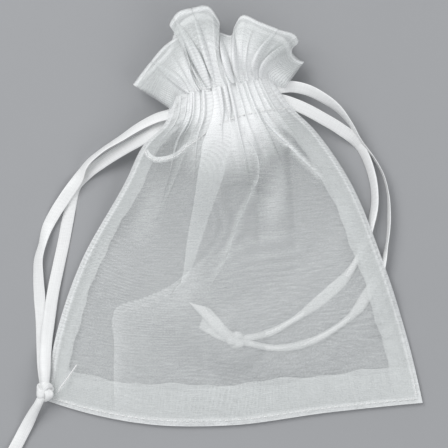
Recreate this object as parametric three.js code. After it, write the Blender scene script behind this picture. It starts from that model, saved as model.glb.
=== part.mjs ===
// A sheer organza gift pouch, 100 mm wide, lying on its back with its neck drawn shut by two
// satin ribbon drawstrings. Millimetres, +Z up, +Y from the bottom seam towards the ruffle.
// The origin is on the surface that the pouch lies on, under the middle of the pouch.
import * as THREE from 'three';
import { LoftGeometry } from 'three/addons/geometries/LoftGeometry.js';

// Driving dimensions
const CLOTH = 0.4; // a panel with its soft pleats, as one plain solid
const GAP = 0.3; // clearance between pieces that touch
const ALLOWANCE = 0.4; // thickness of a turned-in seam allowance
const THREAD_RADIUS = 0.2;
const RIBBON_WIDTH = 3.2;
const RIBBON = 0.4; // thickness of a ribbon
const HALF_STACK = CLOTH + 0.35 + ALLOWANCE / 2; // from the seam plane to a panel's outer face
const NECK_PUFF = 6.3; // rise of each panel over the seam plane at the drawn neck
const MID_PUFF = 1.2; // extra rise of the front panel half way up
const NECK_SEAM_Z = HALF_STACK + NECK_PUFF; // height of the seam plane at the neck
const SIDE_ALLOWANCE = 6.5; // from the side edge to the turned-in edge
const BOTTOM_ALLOWANCE = 8;
const CASING = 8.8; // height of the tunnel that holds the ribbons
const NECK_HALF_WIDTH = 13.8; // at the upper casing line

// The neck's own frame: the middle of the casing, turned a little to the left
const NECK = new THREE.Vector3(-2.5, 30, 0);
const NECK_TURN = THREE.MathUtils.degToRad(12);
const across = new THREE.Vector3(Math.cos(NECK_TURN), Math.sin(NECK_TURN), 0);
const along = new THREE.Vector3(-Math.sin(NECK_TURN), Math.cos(NECK_TURN), 0);

const { smoothstep, lerp } = THREE.MathUtils;
const point = (x, y, z = 0) => new THREE.Vector3(x, y, z);
const route = (...points) => new THREE.CatmullRomCurve3(points.map((p) => point(...p)));
const neckPoint = (p, q) => NECK.clone().addScaledVector(across, p).addScaledVector(along, q);

// Outline of the pouch, seen from above, from the bottom corners up to the upper casing line
const neckLeft = neckPoint(-NECK_HALF_WIDTH, CASING / 2);
const neckRight = neckPoint(NECK_HALF_WIDTH, CASING / 2);
const leftEdge = route(
  [-50, -48.4], [-47.6, -33], [-40.8, -12.3], [-28.4, 10], [-24.1, 18.7], [-17.6, 26], neckLeft.toArray(),
);
const rightEdge = route(
  [50, -49.1], [46.2, -33], [39.8, -12.6], [29.2, 12], [21.4, 22.9], [14, 30.4], neckRight.toArray(),
);
const bottomEdge = route([-50, -48.4], [-24, -54.7], [-2, -55.1], [25.4, -51.6], [50, -49.1]);

// The right drawstring runs under the pouch, flat on the surface that the pouch lies on
const FLOOR_RIBBON_Z = RIBBON / 2 + 0.02;
const STACKED_RIBBON_Z = FLOOR_RIBBON_Z + RIBBON + 0.35; // a ribbon that lies over another
const RIGHT_KNOT = point(0.5, -32.4, 1.12);
const RIGHT_KNOT_SIZE = point(2.3, 2.5, 1.1);
const LEFT_KNOT = point(-50, -45.9, 3.45);
const LEFT_KNOT_SIZE = point(2.3, 2.7, 1.15);
const SIDE_EXIT_Z = 0.45; // each ribbon leg leaves the casing this far from the seam plane
const upperExitZ = NECK_SEAM_Z + SIDE_EXIT_Z;
const lowerExitZ = NECK_SEAM_Z - SIDE_EXIT_Z;

const leftUpperExit = route([-18.4, 28.4, upperExitZ], [-20.2, 28, upperExitZ], [-21.9, 27.1, 7.1]);
const leftLowerExit = route([-18.4, 28.4, lowerExitZ], [-19.9, 27.8, lowerExitZ], [-21.3, 26.1, 5.9]);
const leftUpperLeg = route(
  [-23, 26.4, 6.8], [-25.8, 24.5, 6.8], [-29.4, 21.4, 5], [-35.4, 17.4, 2.6], [-39.2, 13.6, 1.5],
  [-41.6, 9.9, 1.1], [-44.6, 5.9, 1.05], [-47.4, 2.8, 0.9], [-49.6, -0.8, 0.4],
  [-51.1, -4.6, FLOOR_RIBBON_Z],
  [-52, -9.1, FLOOR_RIBBON_Z], [-52, -14.2, FLOOR_RIBBON_Z], [-51.8, -21, FLOOR_RIBBON_Z],
  [-51.2, -27.1, FLOOR_RIBBON_Z], [-50.9, -33.7, 0.4], [-50.9, -38.2, 1.3], [-50.6, -41, 2.4],
  [-50.3, -42.8, 3],
);
const leftLowerLeg = route(
  [-22.2, 24.8, 5.4], [-24.2, 21.8, 5.4], [-26.9, 18.6, 4], [-30, 16.2, 2.4], [-35.4, 13.2, 0.8],
  [-40.4, 9.8, FLOOR_RIBBON_Z], [-42.4, 5.6, FLOOR_RIBBON_Z], [-43.7, 0, FLOOR_RIBBON_Z],
  [-45.5, -6, FLOOR_RIBBON_Z], [-46.9, -12.6, 0.6], [-48, -20, 1], [-49, -27.1, 1.05],
  [-49.8, -33.7, 1.5], [-50, -37, 2.5], [-50, -40, 3.2], [-50, -42.8, 3.8],
);
const leftUpperTail = route([-51.6, -48.9, 3.8], [-52.9, -51.2, 2.8], [-55.3, -55.8, 1.1],
  [-58, -61, STACKED_RIBBON_Z], [-60.8, -66, STACKED_RIBBON_Z]);
const leftLowerTail = route([-51.6, -48.9, 3.05], [-52.9, -51.2, 2], [-55.3, -55.8, 0.35],
  [-58, -61, FLOOR_RIBBON_Z], [-60.8, -66, FLOOR_RIBBON_Z]);

const rightOuterLeg = route(
  [15.1, 31.9, upperExitZ], [17.3, 32.4, upperExitZ], [20.9, 31.8, 6.9], [25.4, 29.4, 5.4],
  [29.6, 25.5, 4.1], [33.6, 20.4, 2.6], [37.3, 15.5, 1.3], [39.9, 10.7, 0.4], [41, 4.6, FLOOR_RIBBON_Z],
  [40.9, -2, FLOOR_RIBBON_Z], [40.3, -8.6, FLOOR_RIBBON_Z], [38.6, -15, FLOOR_RIBBON_Z],
  [34.9, -22, FLOOR_RIBBON_Z], [30.7, -26.7, FLOOR_RIBBON_Z], [24.9, -31, FLOOR_RIBBON_Z],
  [19.3, -33.6, FLOOR_RIBBON_Z], [13.8, -34.9, FLOOR_RIBBON_Z], [7.9, -35, FLOOR_RIBBON_Z],
  [3.2, -34.3, FLOOR_RIBBON_Z],
);
const rightInnerLeg = route(
  [15.1, 31.9, lowerExitZ], [16.7, 32.1, lowerExitZ], [19.2, 31, 5.8], [22.3, 28.5, 4.5],
  [25.9, 25.6, 3], [32, 21, 0.9],
  [35, 15.7, 0.3], [36.6, 9.4, FLOOR_RIBBON_Z], [36.6, 4.6, FLOOR_RIBBON_Z], [35.8, -1.2, FLOOR_RIBBON_Z],
  [34, -7.3, FLOOR_RIBBON_Z], [30.7, -14.2, FLOOR_RIBBON_Z], [27, -18.6, FLOOR_RIBBON_Z],
  [23, -22.2, FLOOR_RIBBON_Z], [17.5, -25.8, FLOOR_RIBBON_Z], [13, -28.4, FLOOR_RIBBON_Z],
  [7.9, -30.5, FLOOR_RIBBON_Z], [3.2, -30.5, FLOOR_RIBBON_Z],
);
const rightUpperTail = route([-2.4, -30.4, STACKED_RIBBON_Z], [-5.6, -27, STACKED_RIBBON_Z],
  [-10.1, -22.6, STACKED_RIBBON_Z]);
const rightLowerTail = route([-2.4, -31.2, FLOOR_RIBBON_Z], [-5.2, -29.4, FLOOR_RIBBON_Z],
  [-8.7, -27.4, FLOOR_RIBBON_Z]);

// What lies under the back panel, and how far each lifts the cloth above the floor
const LIFT_REACH = 7; // the full lift reaches this far to each side, then fades out
const LIFT_FADE = 6;
const onFloor = (path) => path.getSpacedPoints(60).filter((p) => p.z < 2 * RIBBON);
const under = [
  { places: onFloor(rightOuterLeg), height: RIBBON + GAP + 0.05 },
  { places: onFloor(rightInnerLeg), height: RIBBON + GAP + 0.05 },
  { places: rightUpperTail.getSpacedPoints(8), height: STACKED_RIBBON_Z + RIBBON / 2 + GAP + 0.05 },
  { places: [RIGHT_KNOT], height: RIGHT_KNOT.z + RIGHT_KNOT_SIZE.z + GAP + 0.1 },
];
function lift(x, y) {
  const heights = under.map(({ places, height }) => {
    const away = Math.min(...places.map((p) => Math.hypot(p.x - x, p.y - y)));
    return height * (1 - smoothstep(away, LIFT_REACH, LIFT_REACH + LIFT_FADE));
  });
  return Math.max(...heights);
}

// One row across the pouch, t from 0 at the bottom seam to 1 at the upper casing line
function row(t) {
  const closing = smoothstep(t, 0.45, 0.9);
  return {
    left: leftEdge.getPointAt(t),
    right: rightEdge.getPointAt(t),
    sag: (1 - t) ** 3,
    seamZ: lerp(HALF_STACK, NECK_SEAM_Z, closing),
    puff: NECK_PUFF * (1 - (1 - t) ** 3) + MID_PUFF * Math.sin(Math.PI * t),
    droop: NECK_PUFF * closing,
  };
}

// A place on the seam plane: share runs from 0 at the left edge to 1 at the right edge
function seamPlace({ left, right, sag, seamZ }, share) {
  const p = left.clone().lerp(right, share);
  const chord = bottomEdge.getPointAt(0).lerp(bottomEdge.getPointAt(1), share);
  const bottom = bottomEdge.getPointAt(share);
  p.y += (bottom.y - chord.y) * sag;
  p.z = seamZ + lift(p.x, p.y);
  return p;
}

const evenly = (count) => Array.from({ length: count + 1 }, (_, i) => i / count);

// The outer face of a panel, as rows of points from left to right
function panelFace(side, rows, columns) {
  return evenly(rows).map((t) => {
    const here = row(t);
    const rise = side > 0 ? here.puff : here.droop;
    return evenly(columns).map((s) => {
      const p = seamPlace(here, (1 - Math.cos(Math.PI * s)) / 2);
      p.z += side * (HALF_STACK + rise * Math.sin(Math.PI * s));
      return p;
    });
  });
}

// Thickens a face inwards, side +1 for a face that looks up and -1 for one that looks down
function shell(face, side, thickness = CLOTH) {
  const last = face.length - 1;
  const end = face[0].length - 1;
  const inner = face.map((points, i) => points.map((p, j) => {
    const right = face[i][Math.min(j + 1, end)].clone().sub(face[i][Math.max(j - 1, 0)]);
    const up = face[Math.min(i + 1, last)][j].clone().sub(face[Math.max(i - 1, 0)][j]);
    const normal = right.cross(up).normalize();
    return p.clone().addScaledVector(normal, -side * thickness);
  }));
  const [top, bottom] = side > 0 ? [face, inner] : [inner, face];
  const sections = top.map((points, i) => [...points, ...bottom[i].toReversed()]);
  return new LoftGeometry(sections, { capStart: true, capEnd: true });
}

// A flat strip between two lines of points, near being its left or far side along the strip
function strip(near, far) {
  const half = ALLOWANCE / 2;
  const sections = near.map((a, i) => {
    const b = far[i];
    return [
      point(a.x, a.y, a.z + half), point(b.x, b.y, b.z + half),
      point(b.x, b.y, b.z - half), point(a.x, a.y, a.z - half),
    ];
  });
  return new LoftGeometry(sections, { capStart: true, capEnd: true });
}

// Allowance along a side seam: side -1 is the left one
function sideAllowance(side) {
  const inwards = (here, distance) => {
    const share = distance / here.left.distanceTo(here.right);
    return seamPlace(here, side < 0 ? share : 1 - share);
  };
  const rows = evenly(14).map((k) => row(lerp(0.15, 0.86, k)));
  const outer = rows.map((here) => inwards(here, 2.1));
  const inner = rows.map((here) => inwards(here, SIDE_ALLOWANCE));
  return side < 0 ? strip(outer, inner) : strip(inner, outer);
}

function bottomAllowance() {
  const upper = row(BOTTOM_ALLOWANCE / leftEdge.getLength());
  const lower = row(2 / leftEdge.getLength());
  const shares = evenly(20).map((k) => lerp(0.03, 0.97, k));
  return strip(shares.map((k) => seamPlace(upper, k)), shares.map((k) => seamPlace(lower, k)));
}

// An eight-sided outline, round for a thread and flat for a ribbon
function outline(width, height) {
  const chamfer = Math.min(width, height) * 0.29;
  const [x, y] = [width / 2, height / 2];
  return [
    [x, -y + chamfer], [x, y - chamfer], [x - chamfer, y], [-x + chamfer, y],
    [-x, y - chamfer], [-x, -y + chamfer], [-x + chamfer, -y], [x - chamfer, -y],
  ].map(([u, v]) => new THREE.Vector2(u, v));
}
function thread(path, steps) {
  const shape = new THREE.Shape(outline(2 * THREAD_RADIUS, 2 * THREAD_RADIUS));
  return new THREE.ExtrudeGeometry(shape, { steps, extrudePath: path, bevelEnabled: false });
}

// A flat ribbon along a path, lofted so that it never rolls: widthAt gives its width's direction
const level = (tangent) => point(0, 0, 1).cross(tangent).normalize();
function ribbon(path, widthAt = level, step = 2.6) {
  const count = Math.ceil(path.getLength() / step);
  const sections = evenly(count).map((k) => {
    const centre = path.getPointAt(k);
    const tangent = path.getTangentAt(k);
    const right = widthAt(tangent);
    const up = tangent.clone().cross(right);
    return outline(RIBBON_WIDTH, RIBBON).map(({ x, y }) =>
      centre.clone().addScaledVector(right, x).addScaledVector(up, y));
  });
  return new LoftGeometry(sections, { capStart: true, capEnd: true });
}

function sideSeamThread(side) {
  const places = evenly(12).map((k) => {
    const here = row(lerp(0.06, 0.86, k));
    const share = 1.2 / here.left.distanceTo(here.right);
    return seamPlace(here, side < 0 ? share : 1 - share);
  });
  return thread(new THREE.CatmullRomCurve3(places), 16);
}

function bottomSeamThread() {
  const here = row(1.1 / leftEdge.getLength());
  const places = evenly(16).map((k) => seamPlace(here, lerp(0.03, 0.97, k)));
  return thread(new THREE.CatmullRomCurve3(places), 20);
}

function knot(centre, size) {
  const mesh = new THREE.SphereGeometry(1, 14, 10);
  return mesh.scale(size.x, size.y, size.z).translate(centre.x, centre.y, centre.z);
}

// Inside the casing, in the neck's own frame: X across, Y along the neck, Z from the seam plane
const RUN_RADIUS = point(12.6, 0, NECK_PUFF); // half width and half height of the ribbons' loop
const FACING_OUTER = point(11.9, 0, 4.9);
const FACING_INNER = point(8.5, 0, 2.2);
const FACING_START_Z = 0.6; // the two facings keep apart at the side openings

// One half of the gathered inner hem, side +1 for the front
function facing(side) {
  const arc = ({ x, z }, y) => evenly(16).map((s) =>
    point(-x * Math.cos(Math.PI * s), y, side * (FACING_START_Z + z * Math.sin(Math.PI * s))));
  const sections = [-CASING / 2, CASING / 2].map((y) => {
    const outer = arc(FACING_OUTER, y);
    const inner = arc(FACING_INNER, y);
    return side > 0 ? [...outer, ...inner.toReversed()] : [...inner, ...outer.toReversed()];
  });
  return new LoftGeometry(sections, { capStart: true, capEnd: true });
}

function casingStitch(side, y) {
  const places = evenly(16).map((s) => {
    const angle = lerp(0.07, 0.93, s) * Math.PI;
    return point(-RUN_RADIUS.x * Math.cos(angle), y, side * RUN_RADIUS.z * Math.sin(angle));
  });
  return thread(new THREE.CatmullRomCurve3(places), 20);
}

// A ribbon's way round inside the casing, with both ends out of the opening on one side
function casingRun(side, y, exit) {
  const loop = evenly(24).map((k) => {
    const angle = lerp(-163, 163, k) * Math.PI / 180;
    return point(-side * RUN_RADIUS.x * Math.cos(angle), y, RUN_RADIUS.z * Math.sin(angle));
  });
  const end = (z) => [point(side * exit, y, z), point(side * (exit - 2), y, 1.1 * z)];
  const places = [...end(-SIDE_EXIT_Z), ...loop, ...end(SIDE_EXIT_Z).toReversed()];
  return ribbon(new THREE.CatmullRomCurve3(places), () => point(0, 1, 0), 2.2);
}

// The ruffle: doubled hem above the casing, fanned out from the neck to a lobed rim
const RUFFLE_START = CASING / 2 + GAP;
const frontRim = route(
  [-26.7, 35.1, 5.4], [-22.6, 40.4, 8], [-18, 45.8, 10], [-15.6, 52.6, 12.5], [-10.8, 54.9, 14],
  [-6.9, 55.3, 13], [-3.7, 50.6, 10], [-0.8, 48, 8.5], [0.6, 50.8, 10], [2.6, 52.7, 12.5],
  [9.4, 50.2, 13], [16.7, 47.3, 11], [18.5, 41.1, 5.4],
);
const backRim = route(
  [-26.7, 35.1, 3.2], [-22, 40.4, 1.6], [-16, 46.6, 0.9], [-9, 50.4, 0.9], [-2, 47, 1.4],
  [5, 49.6, 0.9], [13, 46.2, 0.9], [18.5, 41.1, 3.2],
);
function ruffle(side, rim) {
  const rimPoints = rim.getSpacedPoints(32);
  const base = evenly(32).map((s) => {
    const p = neckPoint(-13.4 * Math.cos(Math.PI * s), RUFFLE_START);
    p.z = NECK_SEAM_Z + side * (HALF_STACK + 5.9 * Math.sin(Math.PI * s));
    return p;
  });
  const face = evenly(5).map((r) => base.map((p, j) => p.clone().lerp(rimPoints[j], r)));
  return shell(face, side);
}

// Materials: white organza, white satin ribbon and white thread
const organza = new THREE.MeshStandardMaterial({ color: 0xe8ecea, roughness: 0.55, metalness: 0 });
const satin = new THREE.MeshStandardMaterial({ color: 0xf7f7f5, roughness: 0.35, metalness: 0 });
const cotton = new THREE.MeshStandardMaterial({ color: 0xfafaf8, roughness: 0.7, metalness: 0 });

function piece(name, geometry, material) {
  const mesh = new THREE.Mesh(geometry, material);
  mesh.name = name;
  return mesh;
}

const pouch = new THREE.Group();
pouch.add(
  piece('front_panel', shell(panelFace(1, 26, 20), 1), organza),
  piece('back_panel', shell(panelFace(-1, 26, 20), -1), organza),
  piece('left_seam_allowance', sideAllowance(-1), organza),
  piece('right_seam_allowance', sideAllowance(1), organza),
  piece('bottom_seam_allowance', bottomAllowance(), organza),
  piece('left_seam_thread', sideSeamThread(-1), cotton),
  piece('right_seam_thread', sideSeamThread(1), cotton),
  piece('bottom_seam_thread', bottomSeamThread(), cotton),
  piece('front_ruffle', ruffle(1, frontRim), organza),
  piece('back_ruffle', ruffle(-1, backRim), organza),
);

const neck = new THREE.Group();
neck.position.set(NECK.x, NECK.y, NECK_SEAM_Z);
neck.rotation.z = NECK_TURN;
const STITCH_Y = CASING / 2 - 0.45;
const RUN_Y = 1.8; // the two ribbons lie side by side in the casing
neck.add(
  piece('front_casing_facing', facing(1), organza),
  piece('back_casing_facing', facing(-1), organza),
  piece('front_upper_casing_stitch', casingStitch(1, STITCH_Y), cotton),
  piece('front_lower_casing_stitch', casingStitch(1, -STITCH_Y), cotton),
  piece('back_upper_casing_stitch', casingStitch(-1, STITCH_Y), cotton),
  piece('back_lower_casing_stitch', casingStitch(-1, -STITCH_Y), cotton),
  piece('left_ribbon_in_casing', casingRun(-1, RUN_Y, 15.4), satin),
  piece('right_ribbon_in_casing', casingRun(1, -RUN_Y, 17.2), satin),
);
pouch.add(neck);

pouch.add(
  piece('left_upper_exit', ribbon(leftUpperExit), satin),
  piece('left_lower_exit', ribbon(leftLowerExit), satin),
  piece('left_upper_leg', ribbon(leftUpperLeg), satin),
  piece('left_lower_leg', ribbon(leftLowerLeg), satin),
  piece('left_knot', knot(LEFT_KNOT, LEFT_KNOT_SIZE), satin),
  piece('left_upper_tail', ribbon(leftUpperTail), satin),
  piece('left_lower_tail', ribbon(leftLowerTail), satin),
  piece('right_outer_leg', ribbon(rightOuterLeg), satin),
  piece('right_inner_leg', ribbon(rightInnerLeg), satin),
  piece('right_knot', knot(RIGHT_KNOT, RIGHT_KNOT_SIZE), satin),
  piece('right_upper_tail', ribbon(rightUpperTail), satin),
  piece('right_lower_tail', ribbon(rightLowerTail), satin),
  piece('loose_thread_end', thread(route([-46.3, -45.6, 3], [-44, -42.4, 3.7], [-41.5, -38.8, 4.2]), 5), cotton),
);

export default pouch;
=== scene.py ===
"""A sheer organza gift pouch with two satin ribbon drawstrings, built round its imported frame."""

import math

import bpy
import numpy as np
from bpy.props import FloatProperty, FloatVectorProperty, PointerProperty
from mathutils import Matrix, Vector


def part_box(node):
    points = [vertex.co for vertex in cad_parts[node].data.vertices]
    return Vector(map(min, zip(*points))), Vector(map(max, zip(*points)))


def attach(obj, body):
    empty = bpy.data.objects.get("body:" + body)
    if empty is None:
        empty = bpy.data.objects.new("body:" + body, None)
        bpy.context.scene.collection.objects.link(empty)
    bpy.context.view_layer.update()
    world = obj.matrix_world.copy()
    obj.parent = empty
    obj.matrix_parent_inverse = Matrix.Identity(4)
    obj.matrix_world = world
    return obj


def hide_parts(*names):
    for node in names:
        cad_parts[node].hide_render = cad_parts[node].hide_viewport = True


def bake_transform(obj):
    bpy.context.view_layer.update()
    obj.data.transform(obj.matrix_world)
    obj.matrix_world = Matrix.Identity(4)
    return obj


bl_info = {
    "name": "Drawstring Gift Pouch",
    "version": (1, 0, 0),
    "blender": (4, 5, 0),
    "location": "3D View > Sidebar > Pouch",
    "description": "Builds the cloth, ribbons and stitching of a drawstring gift pouch on its frame",
    "category": "Object",
}

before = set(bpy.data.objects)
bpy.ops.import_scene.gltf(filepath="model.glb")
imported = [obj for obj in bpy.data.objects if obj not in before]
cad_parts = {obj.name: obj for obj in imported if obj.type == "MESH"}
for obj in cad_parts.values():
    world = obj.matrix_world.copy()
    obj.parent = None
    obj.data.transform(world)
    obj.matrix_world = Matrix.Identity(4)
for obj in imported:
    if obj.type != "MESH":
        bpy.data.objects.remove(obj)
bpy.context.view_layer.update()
MM = 0.001
UP = np.array([0, 0, 1.0])

# The frame's own places
FRONT_LOW, FRONT_HIGH = (np.array(corner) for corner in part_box("front_panel"))
POUCH_WIDTH = FRONT_HIGH[0] - FRONT_LOW[0]
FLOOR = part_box("back_panel")[0][2]
NECK = np.array([-2.5, 30, 0]) * MM  # middle of the casing
NECK_TURN = math.radians(12)
ACROSS = np.array([math.cos(NECK_TURN), math.sin(NECK_TURN), 0])
ALONG = np.array([-math.sin(NECK_TURN), math.cos(NECK_TURN), 0])
CASING = 8.8 * MM
CASING_TOP = 4.4  # from the middle of the casing to its upper stitches, in millimetres
NECK_HALF_WIDTH = 13.8  # in millimetres
NECK_PUFF = 6.3 * MM  # height of a panel's arch over the seam plane at the neck
MID_PUFF = 1.2 * MM  # and what is added half way up
HALF_GAP = 0.95 * MM  # from the seam plane to a panel away from its seams
NECK_SEAM_Z = HALF_GAP + NECK_PUFF
FREE_REACH = 7 * MM  # from a seam to where the cloth lies free of it
RUFFLE_START = 94 * MM  # where the ruffle's part of the same cloth begins
RUFFLE_HEIGHT = 21 * MM
THREAD_LIFT = 0.3 * MM  # from the seam plane to the middle of a stitch


def neck_place(p, q):
    """The place p millimetres across the neck and q along it from the middle of the casing."""
    return NECK + p * MM * ACROSS + q * MM * ALONG


# Outline of the pouch from the bottom corners up to the upper casing line
LEFT_EDGE = np.array([
    (-50, -48.4), (-47.6, -33), (-40.8, -12.3), (-28.4, 10), (-24.1, 18.7), (-18.2, 25.2),
    tuple(neck_place(-NECK_HALF_WIDTH, CASING_TOP)[:2] / MM),
]) * MM
RIGHT_EDGE = np.array([
    (50, -49.1), (46.2, -33), (39.8, -12.6), (29.2, 12), (21.4, 22.9), (14, 30.4),
    tuple(neck_place(NECK_HALF_WIDTH, CASING_TOP)[:2] / MM),
]) * MM
BOTTOM_EDGE = np.array([(-50, -48.4), (-24, -54.7), (-2, -55.1), (25.4, -51.6), (50, -49.1)]) * MM

# Ribbon routes, from inside the casing to the end of the tail
LEFT_UPPER_ROUTE = np.array([
    (-13.5, 28.6, 7.7), (-16.5, 27.4, 8), (-20.2, 26.4, 7.9), (-23, 25.2, 7.4), (-25.8, 23.7, 6.8),
    (-29.4, 21.4, 5.6), (-35.4, 17.6, 3.6), (-39.2, 14.2, 2.4), (-41.6, 10, 1.6), (-44.6, 5.6, 1.1),
    (-47.6, 1, 0.9), (-49.8, -3.2, 0.5), (-51, -7, 0.3), (-52, -11, 0.3), (-52, -15.2, 0.3),
    (-51.6, -21, 0.3), (-51.1, -27.1, 0.3), (-50.9, -33.7, 0.4), (-50.7, -38.2, 1.3), (-50.3, -42.8, 3),
    (-50.4, -46, 3.6), (-51.6, -48.9, 3.8), (-52.9, -51.2, 2.8), (-55.3, -55.8, 1.1), (-58, -61, 0.97),
    (-60.8, -66, 0.97),
]) * MM
LEFT_LOWER_ROUTE = np.array([
    (-12, 28.6, 7), (-15.5, 26.4, 6.9), (-18.8, 24.2, 6.9), (-22.2, 21.9, 6.6), (-25.5, 20.1, 5.6),
    (-29.6, 17.9, 4), (-35, 14.6, 2), (-39, 11.7, 0.8), (-41.8, 8.7, 0.3), (-43, 5, 0.25), (-44, 0, 0.25),
    (-45.1, -6, 0.25), (-46.5, -12.6, 0.6), (-48, -20, 1), (-49, -27.1, 1.05), (-49.8, -33.7, 1.5),
    (-50, -38.5, 2.8), (-50, -42.8, 3.8), (-50.3, -46, 3.4), (-51.6, -48.9, 3.05), (-52.9, -51.2, 2),
    (-55.3, -55.8, 0.4), (-58, -61, 0.25), (-60.8, -66, 0.25),
]) * MM
RIGHT_OUTER_ROUTE = np.array([
    (8, 32.8, 7.7), (11.5, 34, 7.8), (14.6, 34.4, 7.7), (18.8, 33.7, 7.3), (23.4, 31.5, 6.2), (27.1, 28.9, 5),
    (30.4, 25.1, 3.9), (33.6, 20.2, 2.8), (37.2, 15.4, 1.8), (39.5, 11.2, 1.6), (40.7, 6.6, 1.6),
    (41, 1, 1.6), (40.7, -5, 1.5), (39.6, -11.1, 1), (37.9, -16, 0.5), (35.2, -20.6, 0.3),
    (31.6, -25.6, 0.3), (27.4, -29, 0.3), (22.8, -31.8, 0.3), (16.7, -34, 0.3), (10.6, -34.6, 0.3),
    (5.4, -33.7, 0.5), (0.6, -32.3, 1.2), (-2.8, -30.2, 1.1), (-5.8, -27, 0.97), (-9.2, -23.2, 0.97),
]) * MM
RIGHT_INNER_ROUTE = np.array([
    (8.5, 31.2, 6.9), (12, 31, 6.8), (15.4, 30, 6.6), (19, 28.5, 6), (23, 26.4, 4.9), (28.3, 23.3, 3),
    (31.9, 20.6, 1.6), (34.2, 17.2, 0.7), (35.9, 13, 0.4), (37, 8, 0.3), (37.1, 3.4, 0.3), (36, -1.9, 0.3),
    (34.4, -6.6, 0.3), (31.8, -12.4, 0.3), (29, -16.4, 0.3), (25.6, -19.6, 0.3), (20.8, -23.6, 0.3),
    (14.7, -27.8, 0.3), (9.4, -30.5, 0.3), (4.6, -31.7, 0.5), (0.5, -32, 1), (-2.4, -31.4, 0.5),
    (-5.2, -29.9, 0.25), (-8.8, -27.8, 0.25),
]) * MM
LEFT_KNOT = np.array([-50, -45.9, 3.45]) * MM
RIGHT_KNOT = np.array([0.5, -32.4, 1.12]) * MM

# How each ribbon turns and curls: (share of its length, roll in degrees, curl across it in degrees)
LEFT_UPPER_TURN = [(0, 25, 20), (0.1, 45, 40), (0.2, 70, 40), (0.27, 62, 30), (0.3, 20, 30), (0.34, 0, 10),
                   (0.42, 20, 20), (0.47, 50, 60), (0.53, 30, 40), (0.6, 8, 20), (0.76, 0, 60), (0.8, 0, 200),
                   (0.84, 0, 170), (0.9, 5, 30), (1, 0, 10)]
LEFT_LOWER_TURN = [(0, 0, 20), (0.1, 12, 20), (0.28, 10, 15), (0.33, -25, 30), (0.38, 5, 20), (0.55, 0, 15),
                   (0.74, 0, 60), (0.8, 0, 200), (0.84, 0, 170), (0.9, 4, 30), (1, 0, 15)]
RIGHT_OUTER_TURN = [(0, 15, 20), (0.08, 22, 25), (0.14, 40, 25), (0.19, 66, 20), (0.24, 82, 10),
                    (0.36, 84, 10), (0.42, 76, 20), (0.48, 82, 20), (0.52, 60, 60), (0.56, 15, 60),
                    (0.61, 8, 70), (0.66, 0, 260), (0.71, 0, 220), (0.76, 0, 170), (0.81, 0, 230),
                    (0.88, 0, 230), (0.92, 0, 120), (0.95, 0, 30), (1, 0, 25)]
RIGHT_INNER_TURN = [(0, 10, 20), (0.1, 6, 15), (0.23, 8, 15), (0.27, 45, 40), (0.38, 55, 40), (0.47, 52, 60),
                    (0.53, 30, 250), (0.575, 10, 190), (0.63, 0, 30), (0.69, 0, 60), (0.76, 0, 270),
                    (0.82, 0, 190), (0.89, 0, 240), (0.92, 0, 110), (0.95, 0, 30), (1, 0, 15)]
# The casing's lower hem on the front: it hangs down in a pocket at the left
CASING_LINE = np.array([
    (-23.4, 17.6), (-22.6, 16.2), (-20.9, 15.1), (-18.4, 15.1), (-14.6, 16.5), (-12.4, 18.4), (-9.5, 20.4),
    (-7.8, 21.8), (-4, 24.2), (0.5, 26.2), (6, 27.6), (11, 28.4), (14.2, 28.7),
]) * MM
# The neck's closest gathers, where the organza is painted brightest, and the slack pocket of the casing,
# painted darker as shade
GATHER_CENTRE = np.array([-1.5, 31.5]) * MM
POCKET = np.array([-15.2, 20.6]) * MM
# A soft crease across the lower left of the front: the cloth below and right of it is painted brighter and
# more opaque, a painted highlight
SOFT_CREASE = np.array([
    (-13, -15), (-18, -18.6), (-24.5, -21.4), (-31.2, -24), (-31.7, -34), (-31.7, -47),
]) * MM


# ---------------------------------------------------------------- lines and grids

def unit(vectors):
    """The same directions, each at length 1."""
    return vectors / np.linalg.norm(vectors, axis=-1)[..., None]


def run_along(points):
    """How far along a line each of its points lies."""
    return np.concatenate([[0], np.cumsum(np.linalg.norm(np.diff(points, axis=0), axis=1))])


def line_length(points):
    """How long a line is from its first point to its last."""
    return float(run_along(points)[-1])


def smooth_line(points, count):
    """A smooth curve through the points, at even steps of its length: each stretch is a cubic whose end
    slopes come from the parabola through a point and its two neighbours."""
    points = np.asarray(points, float)
    knots = run_along(points)
    steps = np.diff(knots)
    chords = np.diff(points, axis=0) / steps[:, None]
    share = (steps[:-1] / (steps[:-1] + steps[1:]))[:, None]
    inner = chords[:-1] * (1 - share) + chords[1:] * share
    slopes = np.vstack([2 * chords[:1] - inner[:1], inner, 2 * chords[-1:] - inner[-1:]])
    dense = np.linspace(0, knots[-1], 60 * len(points))
    k = np.clip(np.searchsorted(knots, dense, side="right") - 1, 0, len(steps) - 1)
    t = ((dense - knots[k]) / steps[k])[:, None]
    h = steps[k][:, None]
    curve = (
        (2 * t**3 - 3 * t**2 + 1) * points[k] + (t**3 - 2 * t**2 + t) * h * slopes[k]
        + (3 * t**2 - 2 * t**3) * points[k + 1] + (t**3 - t**2) * h * slopes[k + 1]
    )
    return even_line(curve, count)


def even_line(points, count):
    """The same line as count points at even steps of its length."""
    length = run_along(points)
    wanted = np.linspace(0, length[-1], count)
    return np.stack([np.interp(wanted, length, axis) for axis in points.T], -1)


def ease(value, start=0.0, end=1.0):
    """0 before start, 1 after end, with a smooth rise between."""
    t = np.clip((value - start) / (end - start), 0, 1)
    return t * t * (3 - 2 * t)


def at_share(line, share):
    """The place at each share of an even line's length, for an array of shares of any shape."""
    even = np.linspace(0, 1, len(line))
    return np.stack([np.interp(share, even, axis) for axis in line.T], -1)


def golden(count, start=0.0):
    """Numbers from 0 to 1 that never repeat or bunch: the golden ratio's multiples, less their whole part."""
    return (start + 0.618034 * np.arange(count)) % 1


def round_angles(count):
    """Angles evenly round a full turn."""
    return np.linspace(0, 2 * math.pi, count + 1)[:-1]


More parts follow.
